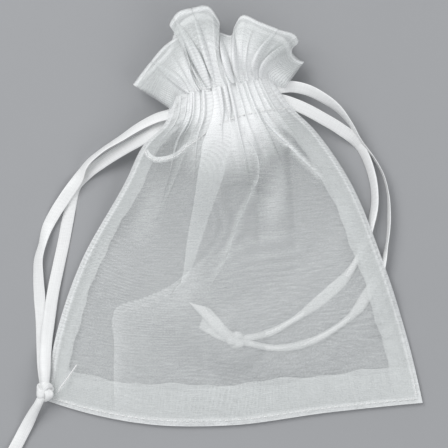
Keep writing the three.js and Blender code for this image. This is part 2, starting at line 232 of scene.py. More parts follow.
def lifted(place, height):
    """Places seen from above, given their heights."""
    return np.concatenate([place, height[..., None]], -1)


def cloth_values(across, along, closeness):
    """For each point its place on the flat cloth in metres, across and along, and how closely the cloth is
    gathered there, which on the organza also carries painted highlights and shade."""
    return np.stack(np.broadcast_arrays(across, along, closeness), -1)


def grid_faces(rows, columns, first=0, closed=False):
    """Four-sided faces of a grid of points. closed joins the last column to the first."""
    across = np.arange(columns if closed else columns - 1)
    up = np.arange(rows - 1)[:, None]
    a = first + up * columns + across
    b = first + up * columns + (across + 1) % columns
    return np.stack([a, b, b + columns, a + columns], -1).reshape(-1, 4)


def new_piece(name, points, faces, material, cloth=None):
    """A mesh piece from its points and faces, with the values of its cloth."""
    mesh = bpy.data.meshes.new(name)
    mesh.from_pydata(np.reshape(points, (-1, 3)).tolist(), [], np.reshape(faces, (-1, 4)).tolist())
    mesh.shade_smooth()
    mesh.materials.append(material)
    if cloth is not None:
        attribute = mesh.attributes.new("cloth", "FLOAT_VECTOR", "POINT")
        attribute.data.foreach_set("vector", np.asarray(cloth, np.float32).ravel())
    piece = bpy.data.objects.new(name, mesh)
    bpy.context.scene.collection.objects.link(piece)
    return piece


def sheet_piece(name, points, cloth, material, side=1):
    """A piece from a grid of points. side -1 turns its faces over."""
    if side < 0:
        points, cloth = points[:, ::-1], cloth[:, ::-1]
    return new_piece(name, points, grid_faces(*points.shape[:2]), material, cloth)


# ---------------------------------------------------------------- materials

def feed(tree, made, inputs):
    """Links each input to a socket, or sets its value."""
    for key, value in inputs.items():
        if isinstance(value, bpy.types.NodeSocket):
            tree.links.new(value, made.inputs[key])
        else:
            made.inputs[key].default_value = value
    return made


def node(tree, kind, inputs=None, **settings):
    """A node of a kind, with its settings and what feeds its inputs."""
    made = tree.nodes.new(kind)
    for key, value in settings.items():
        setattr(made, key, value)
    return feed(tree, made, inputs or {})


def maths(tree, operation, a, b=0.0, c=0.0):
    """One step of arithmetic on sockets or numbers. MULTIPLY_ADD is a * b + c."""
    return node(tree, "ShaderNodeMath", {0: a, 1: b, 2: c}, operation=operation).outputs[0]


def noise(tree, place, stretch=None, **inputs):
    """Noise at a place, which stretch can make finer along some axes than along others."""
    if stretch:
        place = node(tree, "ShaderNodeMapping", {"Vector": place, "Scale": stretch}).outputs[0]
        inputs["Scale"] = 1.0
    return node(tree, "ShaderNodeTexNoise", {"Vector": place, **inputs}).outputs[0]


def weave_group():
    """Plain weave: round warp and weft threads at a pitch, uneven in thickness, with slubs that run across
    and faint fringes where two layers cross. Coverage is how much of the cloth its threads fill."""
    group = bpy.data.node_groups.new("plain weave", "ShaderNodeTree")
    for name, kind, default in (("Cloth", "Vector", None), ("Pitch", "Float", 0.00028),
                                ("Coverage", "Float", 0.3), ("Unevenness", "Float", 0.5)):
        socket = group.interface.new_socket(name, in_out="INPUT", socket_type=f"NodeSocket{kind}")
        if default is not None:
            socket.default_value = default
    for name in ("Coverage", "Slub", "Height"):
        group.interface.new_socket(name, in_out="OUTPUT", socket_type="NodeSocketFloat")
    given = group.nodes.new("NodeGroupInput").outputs
    cloth = given["Cloth"]
    parts = node(group, "ShaderNodeSeparateXYZ", {0: cloth}).outputs
    drift = noise(group, cloth, Scale=90.0, Detail=2.0)
    drift = maths(group, "MULTIPLY", maths(group, "SUBTRACT", drift, 0.5), 0.0011)
    waves = []
    for axis in ("X", "Y"):
        place = maths(group, "DIVIDE", maths(group, "ADD", parts[axis], drift), given["Pitch"])
        turn = maths(group, "SINE", maths(group, "MULTIPLY", place, 2 * math.pi))
        waves.append(maths(group, "MULTIPLY_ADD", turn, 0.5, 0.5))
    either = maths(group, "MAXIMUM", waves[0], waves[1])
    slub = noise(group, cloth, (260, 2400, 1), Detail=3.0, Roughness=0.6)
    speck = noise(group, cloth, (2100, 2900, 1), Detail=1.0)
    uneven = maths(group, "ADD", maths(group, "MULTIPLY", slub, 0.5), maths(group, "MULTIPLY", speck, 0.5))
    uneven = maths(group, "MULTIPLY", maths(group, "SUBTRACT", uneven, 0.5), 3.2)
    uneven = maths(group, "MULTIPLY_ADD", uneven, given["Unevenness"], 1.0)
    bend = noise(group, cloth, (15, 24, 1), Detail=0.0)
    patch = noise(group, cloth, Scale=34.0, Detail=1.0)
    patch = maths(group, "MULTIPLY", maths(group, "SUBTRACT", patch, 0.42), 5.0)
    patch = maths(group, "MAXIMUM", maths(group, "MINIMUM", patch, 1.0), 0.0)
    fringe = maths(group, "MULTIPLY_ADD", bend, 320.0, maths(group, "MULTIPLY", parts["Y"], 5200.0))
    fringe = maths(group, "MULTIPLY", maths(group, "SINE", fringe), maths(group, "MULTIPLY", patch, 0.16))
    threads = maths(group, "ADD", fringe, maths(group, "MULTIPLY_ADD", either, 0.8, 0.46))
    filled = maths(group, "MULTIPLY", maths(group, "MULTIPLY", threads, uneven), given["Coverage"])
    feed(group, group.nodes.new("NodeGroupOutput"), {
        "Coverage": maths(group, "MINIMUM", maths(group, "MAXIMUM", filled, 0.02), 1.0),
        "Slub": slub, "Height": maths(group, "MULTIPLY", waves[0], waves[1]),
    })
    return group


def new_material(name):
    """A material, its node tree and its shader."""
    material = bpy.data.materials.new(name)
    material.use_nodes = True
    return material, material.node_tree, material.node_tree.nodes["Principled BSDF"]


def cloth_parts(tree):
    """The values stored with the cloth: X across it, Y along it, Z how closely it is gathered, which on the
    organza also carries painted highlights and shade.
    """
    stored = node(tree, "ShaderNodeAttribute", attribute_name="cloth").outputs["Vector"]
    return node(tree, "ShaderNodeSeparateXYZ", {0: stored}).outputs


def flat_place(tree, parts):
    """The place on the flat cloth alone."""
    return node(tree, "ShaderNodeCombineXYZ", {"X": parts["X"], "Y": parts["Y"]}).outputs[0]


def woven(tree, weave, flat, **inputs):
    """The outputs of the weave for cloth laid flat."""
    made = node(tree, "ShaderNodeGroup", node_tree=weave)
    return feed(tree, made, {"Cloth": flat, **inputs}).outputs


def tinted(colour, factor):
    """The colour at a brightness, with no part above 1."""
    return tuple(min(1.0, channel * factor) for channel in colour[:3]) + (1.0,)


def tint(tree, value, colour, low, high):
    """The colour made darker and lighter by a value: low and high are each (value, brightness)."""
    ramp = node(tree, "ShaderNodeValToRGB", {"Fac": value})
    for element, (position, factor) in zip(ramp.color_ramp.elements, (low, high)):
        element.position = position
        element.color = tinted(colour, factor)
    return ramp.outputs[0]


def bump(tree, height, strength, distance):
    """A normal tilted by a height."""
    inputs = {"Height": height, "Strength": strength, "Distance": distance}
    return node(tree, "ShaderNodeBump", inputs).outputs[0]


def organza_material(weave, colours):
    """Sheer organza: its coverage is its alpha, and grows where the cloth is gathered closely. Its colour is
    painted brighter there as a glow, and follows the painted highlights and shade carried with the cloth.
    """
    material, tree, shader = new_material("organza")
    parts = cloth_parts(tree)
    out = woven(tree, weave, flat_place(tree, parts), Coverage=colours.layer_coverage, Unevenness=0.55)
    open_share = maths(tree, "SUBTRACT", 1.0, out["Coverage"])
    layers = maths(tree, "MULTIPLY_ADD", parts["Z"], 5.0, 1.0)
    # Painted glow: where the cloth is closely gathered or carries a painted highlight the colour is made
    # brighter, and in painted shade darker; the slub adds real unevenness.
    closeness = maths(tree, "MULTIPLY_ADD", parts["Z"], 0.6, maths(tree, "MULTIPLY", out["Slub"], 0.5))
    feed(tree, shader, {
        "Alpha": maths(tree, "SUBTRACT", 1.0, maths(tree, "POWER", open_share, layers)),
        "Base Color": tint(tree, closeness, colours.organza, (0.1, 0.93), (0.8, 1.15)),
        "Roughness": maths(tree, "MULTIPLY_ADD", out["Slub"], 0.3, 0.3),
        "Normal": bump(tree, out["Height"], 0.35, 0.00006),
        "Sheen Weight": 0.35, "Sheen Roughness": 0.35,
    })
    return material


def ribbon_material(weave, colours):
    """Satin ribbon: close weave, fine lines along its length, and a firmer woven edge on both sides."""
    material, tree, shader = new_material("satin ribbon")
    parts = cloth_parts(tree)
    flat = flat_place(tree, parts)
    out = woven(tree, weave, flat, Pitch=0.00022, Coverage=0.95, Unevenness=0.2)
    lines = noise(tree, flat, (5200, 60, 1), Detail=2.0)
    edge = maths(tree, "GREATER_THAN", parts["Z"], 0.84)
    shade = maths(tree, "ADD", maths(tree, "MULTIPLY", lines, 0.7), maths(tree, "MULTIPLY", out["Slub"], 0.3))
    firm = node(tree, "ShaderNodeMix", {
        "Factor": maths(tree, "MULTIPLY", edge, 0.6),
        6: tint(tree, shade, colours.ribbon, (0.3, 0.88), (0.68, 1.03)), 7: tinted(colours.ribbon, 1.05),
    }, data_type="RGBA")
    rough = maths(tree, "MULTIPLY_ADD", lines, 0.25, 0.24)
    height = maths(tree, "ADD", maths(tree, "MULTIPLY", out["Height"], 0.5), maths(tree, "ADD", lines, edge))
    alpha = maths(tree, "MULTIPLY_ADD", edge, 0.1, maths(tree, "MULTIPLY_ADD", out["Coverage"], 0.25, 0.72))
    feed(tree, shader, {
        "Base Color": firm.outputs[2], "Alpha": maths(tree, "MINIMUM", alpha, 1.0),
        "Roughness": maths(tree, "MULTIPLY_ADD", edge, 0.15, rough),
        "Normal": bump(tree, height, 0.4, 0.00008),
        "Sheen Weight": 0.3, "Sheen Roughness": 0.3, "Anisotropic": 0.4,
    })
    return material


def thread_material(colours):
    """Spun thread: fine plies that wind round it."""
    material, tree, shader = new_material("sewing thread")
    parts = cloth_parts(tree)
    wind = maths(tree, "MULTIPLY_ADD", parts["Y"], 9000.0, maths(tree, "MULTIPLY", parts["X"], 2 * math.pi))
    ply = maths(tree, "MULTIPLY_ADD", maths(tree, "SINE", wind), 0.5, 0.5)
    feed(tree, shader, {
        "Base Color": tint(tree, ply, colours.thread, (0, 0.8), (1, 1.02)),
        "Roughness": maths(tree, "MULTIPLY_ADD", ply, 0.2, 0.5),
        "Normal": bump(tree, ply, 0.5, 0.00004), "Sheen Weight": 0.25,
    })
    return material


def floor_material(colours):
    """Plain pale paper with a barely visible mottle."""
    material, tree, shader = new_material("pale floor")
    mottle = noise(tree, node(tree, "ShaderNodeTexCoord").outputs["Object"], Scale=60.0)
    feed(tree, shader, {
        "Base Color": tint(tree, mottle, colours.floor, (0, 0.985), (1, 1.015)),
        "Roughness": 0.9, "Specular IOR Level": 0.1,
    })
    return material


# ---------------------------------------------------------------- cloth shapes

LEFT_LINE, RIGHT_LINE, BOTTOM_LINE = (smooth_line(edge, 400) for edge in (LEFT_EDGE, RIGHT_EDGE, BOTTOM_EDGE))
SIDE_LENGTH = line_length(LEFT_LINE)


def cloth_rows(along):
    """Rows of the pouch at shares of the way from its bottom seam to the upper casing line."""
    closing = ease(along, 0.45, 0.9)
    return {
        "along": along,
        "left": at_share(LEFT_LINE, along),
        "right": at_share(RIGHT_LINE, along),
        "seam_z": HALF_GAP + (NECK_SEAM_Z - HALF_GAP) * closing,
        "puff": NECK_PUFF * (1 - (1 - along) ** 3) + MID_PUFF * np.sin(math.pi * along),
        "droop": NECK_PUFF * closing,
    }


def row_width(rows):
    """The straight width of each row from the left edge to the right one."""
    return np.linalg.norm(rows["right"] - rows["left"], axis=1)


def seam_place(rows, share):
    """Places on the seam plane, seen from above. The rows near the bottom bow down with the bottom edge."""
    chord = BOTTOM_EDGE[0] + share[..., None] * (BOTTOM_EDGE[-1] - BOTTOM_EDGE[0])
    bow = (at_share(BOTTOM_LINE, share) - chord)[..., 1] * ((1 - rows["along"]) ** 3)[:, None]
    place = rows["left"][:, None] * (1 - share[..., None]) + rows["right"][:, None] * share[..., None]
    place[..., 1] += bow
    return place


def ribbon_lift(place):
    """How far the right drawstring, which runs under the pouch, lifts the cloth at each place."""
    height = np.zeros(place.shape[:-1])
    on_floor = [line[line[:, 2] < 0.8 * MM] for line in
                (smooth_line(route, 70) for route in (RIGHT_OUTER_ROUTE, RIGHT_INNER_ROUTE))]
    for line, top in ((on_floor[0], 1.15), (on_floor[1], 1.15), (RIGHT_KNOT[None], 2.5)):
        away = np.full(place.shape[:-1], 1.0)
        for spot in line:
            away = np.minimum(away, np.hypot(place[..., 0] - spot[0], place[..., 1] - spot[1]))
        height = np.maximum(height, top * MM * (1 - ease(away, 4 * MM, 12 * MM)))
    return height


def seam_line(rows, share, above=0.0):
    """A line on the seam plane, one point for each row."""
    place = seam_place(rows, share[:, None])[:, 0]
    return lifted(place, rows["seam_z"] + ribbon_lift(place) + above)


def fold_share(rows, line):
    """Where a fold drawn on the pouch crosses each row, as a share of the row's width. It holds its first
    and last share beyond its ends."""
    line = smooth_line(np.array(line, float)[:, :2] * MM, 80)
    width = row_width(rows)
    across = (rows["right"] - rows["left"]) / width[:, None]
    offset = line[None] - rows["left"][:, None]
    off_row = np.abs(offset[..., 0] * across[:, None, 1] - offset[..., 1] * across[:, None, 0])
    nearest = off_row.argmin(axis=0)
    share = (offset[nearest, np.arange(len(line))] * across[nearest]).sum(-1) / width[nearest]
    order = np.argsort(nearest, kind="stable")
    return np.interp(np.arange(len(width)), nearest[order], share[order])


def fold_size(rows, line, column):
    """A fold's size at each row, from the sizes given at its points. It is nothing beyond its ends."""
    line = np.array(line, float)
    height = line[:, 1] * MM
    middle = (rows["left"][:, 1] + rows["right"][:, 1]) / 2
    order = np.argsort(height)
    low, high, fade = height.min(), height.max(), 4 * MM
    inside = ease(middle, low - fade, low) * (1 - ease(middle, high, high + fade))
    return np.interp(middle, height[order], line[order, column] * MM) * inside


def lay_folds(even, width, folds):
    """Cloth laid across rows in knife folds. A fold turns the cloth back over twice its half width, so that
    it runs the other way between two turns: each fold takes twice a soft clamp of the run away from it.
    Returns the share of each row that each point lies at, and its height above the flat cloth."""
    taken = sum(4 * fold["half"] for fold in folds)
    run = even[None] * (width + taken)[:, None]
    across = run.copy()
    height = np.zeros_like(run)
    for fold in folds:
        before = sum(4 * other["half"] * ease(fold["share"] - other["share"], -0.025, 0.025)
                     for other in folds if other is not fold)
        centre = fold["share"] * width + before + 2 * fold["half"]
        away = run - centre[:, None]
        half = fold["half"][:, None]
        turn = fold["turn"]
        clamp = (np.sqrt((away + half) ** 2 + turn**2) - np.sqrt((away - half) ** 2 + turn**2)) / 2
        across -= 2 * (clamp + half)
        fade = np.exp(-((away / (half + fold["reach"])) ** 2))
        height += fold["step"][:, None] * np.tanh(1.6 * away / (half + turn)) * fade
        height += fold["ridge"][:, None] * np.exp(-((away / (half + turn)) ** 2))
    span = across[:, -1:] - across[:, :1]
    return np.clip((across - across[:, :1]) / span, 0, 1), height


# Lines along which the front cloth is painted brighter, as soft highlights: (x, y) in millimetres
HIGHLIGHT_BETWEEN_HOLLOWS = [(12.6, 15), (11.8, 9), (10.2, 2), (8.8, -6)]
LEFT_HIGHLIGHT_LINE = [(-20, 12), (-22.5, 2), (-25.5, -8)]
# Folds of the front panel: (x, y, half width, step, ridge) in millimetres, from the neck down
WIDE_PLEAT = [(-5.6, 34, 0.8, 0.2, 0.3), (-4.2, 30, 1.5, 0.3, 0.4), (-3.9, 25, 2.9, 0.4, 0.6),
              (-4.5, 20, 4.2, 0.5, 0.7), (-5.9, 12, 3.9, 0.5, 0.6),
              (-8, 4, 3, 0.45, 0.5), (-10.2, -4, 2.3, 0.4, 0.4), (-11.8, -10.5, 1.6, 0.35, 0.4),
              (-13.4, -15, 0.8, 0.3, 0.3), (-18, -19, 0.35, 0.25, 0.3), (-24.5, -21.6, 0.3, 0.25, 0.3),
              (-31, -24.6, 0.3, 0.25, 0.3), (-31.6, -33, 0.2, 0.2, 0.25), (-31.7, -45, 0.05, 0.1, 0.1)]
CENTRE_CREASE = [(3.5, 21, 0.6, 0.3, 0.4), (6.2, 10, 0.35, 0.25, 0.4), (4.2, 5.9, 0.45, 0.25, 0.4),
                 (0.5, -2, 0.4, 0.25, 0.4), (-2.3, -10.3, 0.35, 0.2, 0.3), (-7, -17, 0.2, 0.1, 0.2)]
LEFT_HOLLOW = [(7.2, 18, 0, 0, -1.1), (7, 6, 0, 0, -1.5), (6.8, -9, 0, 0, -0.4)]
RIGHT_HOLLOW = [(14.5, 19, 0, 0, -1.1), (15.6, 6, 0, 0, -1.4), (16.4, -7, 0, 0, -0.4)]
RIGHT_CREASE = [(8, 25.6, 0.4, 0.3, 0.4), (10, 23.3, 0.8, 0.3, 0.5), (14, 19.2, 0.9, 0.3, 0.5),
                (19.3, 13.9, 0.8, 0.3, 0.4), (24.5, 8.6, 0.3, 0.2, 0.2)]
LEFT_CREASE = [(-11, 22, 0.5, 0.3, 0.4), (-14.5, 13, 0.3, 0.2, 0.3), (-18, 3, 0.1, 0.1, 0.2)]
HOLLOWS = [LEFT_HOLLOW, RIGHT_HOLLOW]
FRONT_FOLDS = [WIDE_PLEAT, CENTRE_CREASE, *HOLLOWS, RIGHT_CREASE, LEFT_CREASE]
BACK_FOLDS = [[(2, 22, 2, -0.5, -0.4), (5, 8, 1.2, -0.4, -0.3), (9, -4, 0.3, -0.2, -0.2)],
              [(-12, 22, 1.4, -0.4, -0.4), (-17, 8, 0.7, -0.3, -0.3), (-22, -3, 0.2, -0.2, -0.2)]]
WIDE_PLEAT_SHARE = 0.42  # where the wide pleat goes into the casing
FOLD_TURN = 0.35 * MM  # how round a knife fold turns
HOLLOW_TURN = 1.3 * MM  # and the soft side of a hollow


def fold(share, half, step, ridge, turn, reach):
    """One knife fold, at a share of each row's width: half its width, the step in height over it, the height
    of its ridge, how round it turns, and how far the step reaches past it."""
    return {"share": share, "half": half, "step": step, "ridge": ridge, "turn": turn, "reach": reach}


def drawn_folds(rows, side):
    """The folds that are drawn one by one on the front (side 1) or the back (side -1)."""
    return [
        fold(fold_share(rows, line), *(fold_size(rows, line, column) for column in (2, 3, 4)),
             HOLLOW_TURN if line in HOLLOWS else FOLD_TURN, 2.2 * MM)
        for line in (FRONT_FOLDS if side > 0 else BACK_FOLDS)
    ]


def neck_gathers(rows, side):
    """Small pleats that the drawstring draws up, fading out below the casing, each over its own length."""
    count, start = (19, 0.57) if side > 0 else (17, 0.17)
    below = (1 - rows["along"]) * SIDE_LENGTH
    steps = np.cumsum(0.45 + golden(count, start))
    places = 0.04 + 0.92 * (steps - steps[0] / 2) / steps[-1]
    if side > 0:
        places = np.where(np.abs(places - WIDE_PLEAT_SHARE) < 0.045, places + 0.09, places)
    folds = []
    for place, luck in zip(places, golden(count, 2 * start)):
        near = 1 - ease(below, 5 * MM, (12 + 30 * luck * luck) * MM)
        folds.append(fold(
            np.full(len(below), place), (0.25 + 0.5 * luck) * MM * near, side * 0.2 * MM * near,
            side * (0.4 + 0.9 * luck) * MM * near, FOLD_TURN, 1.4 * MM))
    return folds


def broad_pleats(out, side):
    """A few broad knife pleats in the ruffle, widest half way out."""
    count, wide = (8, 1) if side > 0 else (11, 1.5)
    full = np.sin(math.pi * out) ** 0.8 + 0.12 * out
    places = 0.07 + 0.86 * (np.arange(count) + golden(count, 0.2)) / count
    return [
        fold(np.full(len(out), place), (1 + 0.9 * luck) * MM * full * wide, side * 0.4 * MM * full,
             side * (0.8 + 1.2 * luck) * MM * full, 0.45 * MM, 2.5 * MM)
        for place, luck in zip(places, golden(count, 0.7))
    ]


def wrinkles(place, seed, size):
    """Low soft waves that cross in different directions, 9 to 26 mm from crest to crest."""
    total = np.zeros(place.shape[:-1])
    for k, (turn, length) in enumerate(zip(golden(7, seed), golden(7, seed * 3 + 0.1))):
        angle = math.pi * turn
        wave = (9 + 17 * length) * MM
        phase = (place[..., 0] * math.cos(angle) + place[..., 1] * math.sin(angle)) / wave
        total += np.sin(2 * math.pi * phase + 2.4 * k)
    return size * total / 3


def gather_and_painted_light_at(place, even, side):
    """How closely the threads are drawn together, with painted light added: full round the middle of the
    neck, fading out along rays, where it also paints the organza brighter as a glow. On the front the slack
    pocket is painted darker and thinner as shade, and a painted highlight lies beside the soft crease and
    along four lines."""
    away = np.hypot(place[..., 0] - GATHER_CENTRE[0], (place[..., 1] - GATHER_CENTRE[1]) / 1.1)
    near = 1 - ease(away, 6 * MM, 23 * MM)
    rays = sum(np.sin(2 * math.pi * even * wave + 2 * wave * side) for wave in (9, 14, 23, 37)) / 4
    close = near**1.5 * (1.15 + 0.5 * rays[None] * (1 - near))
    if side > 0:
        # Painted shade: the slack pocket is made darker and more see-through.
        across, along = place[..., 0] - POCKET[0], place[..., 1] - POCKET[1]
        along, across = 0.88 * along - 0.47 * across, 0.88 * across + 0.47 * along
        close = close * (1 - 0.9 * np.exp(-((across / (7 * MM)) ** 2) - (along / (2.4 * MM)) ** 2))
        # Painted highlight: below and right of the soft crease the cloth is made brighter and more opaque,
        # fading over a few millimetres.
        away, on_left, _ = from_line(place, SOFT_CREASE)
        close = close + 0.22 * np.exp(-away / (6 * MM)) * on_left
        # Painted highlights along four lines: how much brighter, and how wide, for each.
        for drawing, full, reach in ((RIGHT_CREASE, 0.55, 0.8), (CENTRE_CREASE, 0.16, 0.8),
                                     (HIGHLIGHT_BETWEEN_HOLLOWS, 0.16, 2.6), (LEFT_HIGHLIGHT_LINE, 0.1, 3)):
            line = np.array([point[:2] for point in drawing]) * MM
            away, _, share = from_line(place, line)
            close = close + full * np.exp(-((away / (reach * MM)) ** 2)) * np.sin(math.pi * share) ** 0.7
    return np.clip(close, 0, 1.4)


def from_line(place, line):
    """How far each place is from a line seen from above, whether it is on the line's left-hand side, and the
    share of the line that is nearest."""
    line = smooth_line(line, 50)
    nearest = np.full(place.shape[:-1], np.inf)
    on_left = np.zeros(place.shape[:-1], bool)
    share = np.zeros(place.shape[:-1])
    for k, (start, end) in enumerate(zip(line[:-1], line[1:])):
        step = end - start
        off = place[..., :2] - start
        run = np.clip((off @ step) / (step @ step), 0, 1)
        away = np.linalg.norm(off - run[..., None] * step, axis=-1)
        turn = step[0] * off[..., 1] - step[1] * off[..., 0]
        closer = away < nearest
        nearest = np.where(closer, away, nearest)
        on_left = np.where(closer, turn > 0, on_left)
        share = np.where(closer, (k + run) / (len(line) - 1), share)
    return nearest, on_left, share


def raised(rows, share, height, inset, side):
    """Cloth above (side 1) or below (side -1) the seam plane: an arch across each row, the fold heights and
    low wrinkles, all held down near the seams, and the lift of the ribbon under it."""
    place = seam_place(rows, share)
    free = ease(inset, 0, FREE_REACH)
    rise = (rows["puff"] if side > 0 else rows["droop"])[:, None] * 2 * np.sqrt(share * (1 - share))
    z = rows["seam_z"][:, None] + ribbon_lift(place)
    z = z + side * (0.12 * MM + (HALF_GAP - 0.12 * MM) * free + rise)
    z = z + (height + wrinkles(place, 0.31 + 0.17 * side, (0.35 if side > 0 else 0.1) * MM)) * free
    return lifted(place, z)


def panel_grid(side, row_count, column_count):
    """The front (side 1) or back (side -1) of the pouch, from the bottom seam to the upper casing line:
    an arch over the seam plane that grows towards the neck, with its folds, gathers and wrinkles."""
    rows = cloth_rows(np.linspace(0, 1, row_count))
    even = np.linspace(0, 1, column_count)
    width = row_width(rows)
    share, height = lay_folds(even, width, drawn_folds(rows, side) + neck_gathers(rows, side))
    up = (rows["along"] * SIDE_LENGTH)[:, None]
    inset = np.minimum(np.minimum(share, 1 - share) * width[:, None], up)
    points = raised(rows, share, height, inset, side)
    points[..., 2] = np.maximum(points[..., 2], FLOOR + 0.05 * MM)
    # The closeness carries painted light too: painted highlights, shade and the glow round the neck, which
    # brighten or darken the organza.
    closeness = (gather_and_painted_light_at(points[..., :2], even, side) + 0.55 * (1 - ease(inset, 0.4 * MM, 1.2 * MM))
                 + 0.5 * np.exp(-(((inset - 1.3 * MM) / (0.45 * MM)) ** 2)))
    return points, cloth_values(even * POUCH_WIDTH, up, closeness)


def on_front(line, above):
    """A line seen from above, laid on the front cloth: each point takes the height of the nearest cloth."""
    points = panel_grid(1, 95, 190)[0].reshape(-1, 3)
    gap = np.hypot(line[:, None, 0] - points[None, :, 0], line[:, None, 1] - points[None, :, 1])
    soft = np.hanning(15) / np.hanning(15).sum()
    height = np.convolve(np.pad(points[gap.argmin(1), 2], 7, mode="edge"), soft, mode="valid")
    return lifted(line, height + above)


# Rims of the ruffle, seen from above with their heights, from the left side seam to the right one
FRONT_RIM = np.array([
    (-26.7, 35.1, 5.2), (-22.6, 40.4, 6.6), (-18.2, 45.4, 7.6), (-14.5, 48.2, 8), (-12.8, 50.2, 8.6),
    (-14.6, 50.4, 9.6), (-16.9, 50.2, 10.8), (-15, 53.6, 12.4), (-10.8, 54.9, 13.6), (-6.9, 55.4, 13.2),
    (-4.7, 53, 12), (-3.8, 50.5, 10.4), (-5.2, 49.2, 9.2), (-3.2, 48.6, 8.6), (-0.8, 47.9, 8.6),
    (0, 50, 10), (2.1, 53, 12.2), (6.8, 51.2, 12.8), (11.7, 49.3, 12.2), (16.5, 47.5, 10.6),
    (17.1, 46.2, 9.6), (15.4, 44.4, 8.4), (15.4, 42.9, 7.2), (18.5, 41.1, 5.6),
]) * MM
BACK_RIM = np.array([
    (-26.7, 35.1, 4.4), (-21.8, 40, 3.2), (-17.2, 45.2, 2.4), (-15, 50.8, 3.4), (-9.6, 54, 5),
    (-6, 53.6, 3.6), (-4.6, 49.6, 2.4), (-1.2, 46.8, 2), (1.6, 51.6, 4), (8.6, 49.4, 3.6), (14.4, 46.6, 3),
    (15.6, 43.4, 3.6), (18.5, 41.1, 4.6),
]) * MM


def ruffle_grid(side, rim, row_count, column_count):
    """The doubled hem above the casing: rows run from the neck out to the rim, turn over it, and come back a
    little inside. A row is a quadratic Bezier mix of the neck line, the same line carried on along the neck,
    and the rim. The neck's small pleats open out, and a few broad knife pleats form half way."""
    out = np.concatenate([np.linspace(0, 1, row_count), np.linspace(1, 0, row_count)[1:]])
    rows = cloth_rows(np.ones(len(out)))
    even = np.linspace(0, 1, column_count)
    folds = drawn_folds(rows, side) + neck_gathers(rows, side)
    for small in folds:
        for part in ("half", "step", "ridge"):
            small[part] = small[part] * (1 - out)
    folds += broad_pleats(out, side)
    rim_line = smooth_line(rim, 900)
    width = row_width(rows)
    share, height = lay_folds(even, width * (1 - out) + line_length(rim_line) * out, folds)
    base = raised(rows, share, height, np.minimum(share, 1 - share) * width[:, None], side)
    down = -3.2 if side > 0 else -1.6
    for end, shift in ((share, (0.6, down, 0)), (1 - share, (3.4, down, 0))):
        base = base + ((1 - ease(end, 0, 0.1)) ** 2)[..., None] * np.array(shift) * MM
    ends = np.abs(2 * share - 1) ** 3
    leaving = base + (7.5 * (1 - ends) * MM)[..., None] * ALONG
    near, far = (1 - out)[:, None, None], out[:, None, None]
    points = near**2 * base + 2 * near * far * leaving + far**2 * at_share(rim_line, share)
    swell = np.sin(math.pi * out)[:, None] ** 1.5
    points[..., 2] += height * (1 - near[..., 0] ** 2) + (1.2 * side * (1 - ends) + 2.5 * ends) * MM * swell
    points[..., 2] += wrinkles(points[..., :2], 0.4 + 0.1 * side, 0.3 * MM) * swell
    inner = np.concatenate([np.zeros(row_count), np.ones(row_count - 1)])[:, None]
    depth = inner * np.clip((1 - out[:, None]) / 0.05, 0, 1)
    points[..., 2] -= side * 0.7 * MM * depth
    centre = NECK + 6 * MM * ALONG
    points[..., :2] += (centre[:2] - points[..., :2]) * (0.035 * depth)[..., None]
    points[..., 2] = np.maximum(points[..., 2], FLOOR + 0.1 * MM)
    up = (np.where(inner > 0, 2 - out[:, None], out[:, None])) * RUFFLE_HEIGHT + RUFFLE_START
    rim_edge = 0.5 * (out[:, None] > 0.96)
    # The closeness carries the painted glow round the neck, which brightens the organza.
    closeness = gather_and_painted_light_at(points[..., :2], even, side) + rim_edge
    return points, cloth_values(even[None] * POUCH_WIDTH, up, closeness)


def double_strip(outer, inner, inner_short, rise, count):
    """A turned-in allowance: two layers that leave one seam line, the lower one a little shorter."""
    k = np.linspace(1, 0, count)[:, None, None]
    upper = outer[None] * (1 - k) + inner[None] * k
    lower = outer[None] * (1 - k[::-1]) + inner_short[None] * k[::-1]
    upper[..., 2] += rise * k[..., 0]
    lower[..., 2] -= rise * k[::-1, ..., 0]
    return np.concatenate([upper, lower[1:]])



# ---------------------------------------------------------------- ribbons, knots and stitches

RIBBON_COLUMNS = 13  # points across each face of a ribbon
RIBBON_STEP = 0.4 * MM  # from one section to the next along it
FLOOR_GAP = 0.04 * MM  # least height of a ribbon above the floor


def turns_at(turns, count):
    """A ribbon's roll and curl at count even steps, from its table of turns, softened at the corners."""
    table = np.array(turns, float)
    even = np.linspace(0, 1, count)
    values = [np.interp(even, table[:, 0], np.radians(table[:, k])) for k in (1, 2)]
    soft = np.hanning(max(5, count // 24) | 1)
    soft /= soft.sum()
    return [np.convolve(np.pad(v, len(soft) // 2, mode="edge"), soft, mode="valid") for v in values]


def ribbon_grid(centre, roll, curl, sizes, width_axis):
    """A ribbon's section carried along its middle line. The section is an arc as long as the ribbon is
    wide, bent by the curl and turned by the roll, with a face on each side. It lies flat across the line,
    or across it along a given width axis. Also returns the middle line, lifted clear of the floor."""
    tangent = unit(np.gradient(centre, axis=0))
    if width_axis is None:
        side = np.cross(UP, tangent)
    else:
        side = np.broadcast_to(width_axis, tangent.shape) - tangent * (tangent @ width_axis)[:, None]
    side = unit(side)
    up = np.cross(tangent, side)
    c, s = np.cos(roll)[:, None], np.sin(roll)[:, None]
    side, up = side * c + up * s, up * c - side * s
    curl = np.maximum(np.abs(curl), 0.03)[:, None]
    angle = np.linspace(-0.5, 0.5, RIBBON_COLUMNS)[None] * curl
    radius = sizes.ribbon_width / curl
    over = radius * np.sin(angle)
    rise = radius * (np.cos(angle) - np.cos(curl / 4))
    half = sizes.ribbon_thickness / 2 * np.sqrt(np.clip(1 - np.linspace(-1, 1, RIBBON_COLUMNS) ** 8, 0.05, 1))
    faces = []
    for sign in (1, -1):
        a = over + sign * half * np.sin(angle)
        b = rise + sign * half * np.cos(angle)
        faces.append(a[..., None] * side[:, None] + b[..., None] * up[:, None])
    section = np.concatenate([faces[0], faces[1][:, ::-1]], 1)
    middle = centre.copy()
    middle[:, 2] += np.maximum(0, FLOOR + FLOOR_GAP - (centre[:, None] + section)[..., 2].min(1))
    return middle[:, None] + section, middle


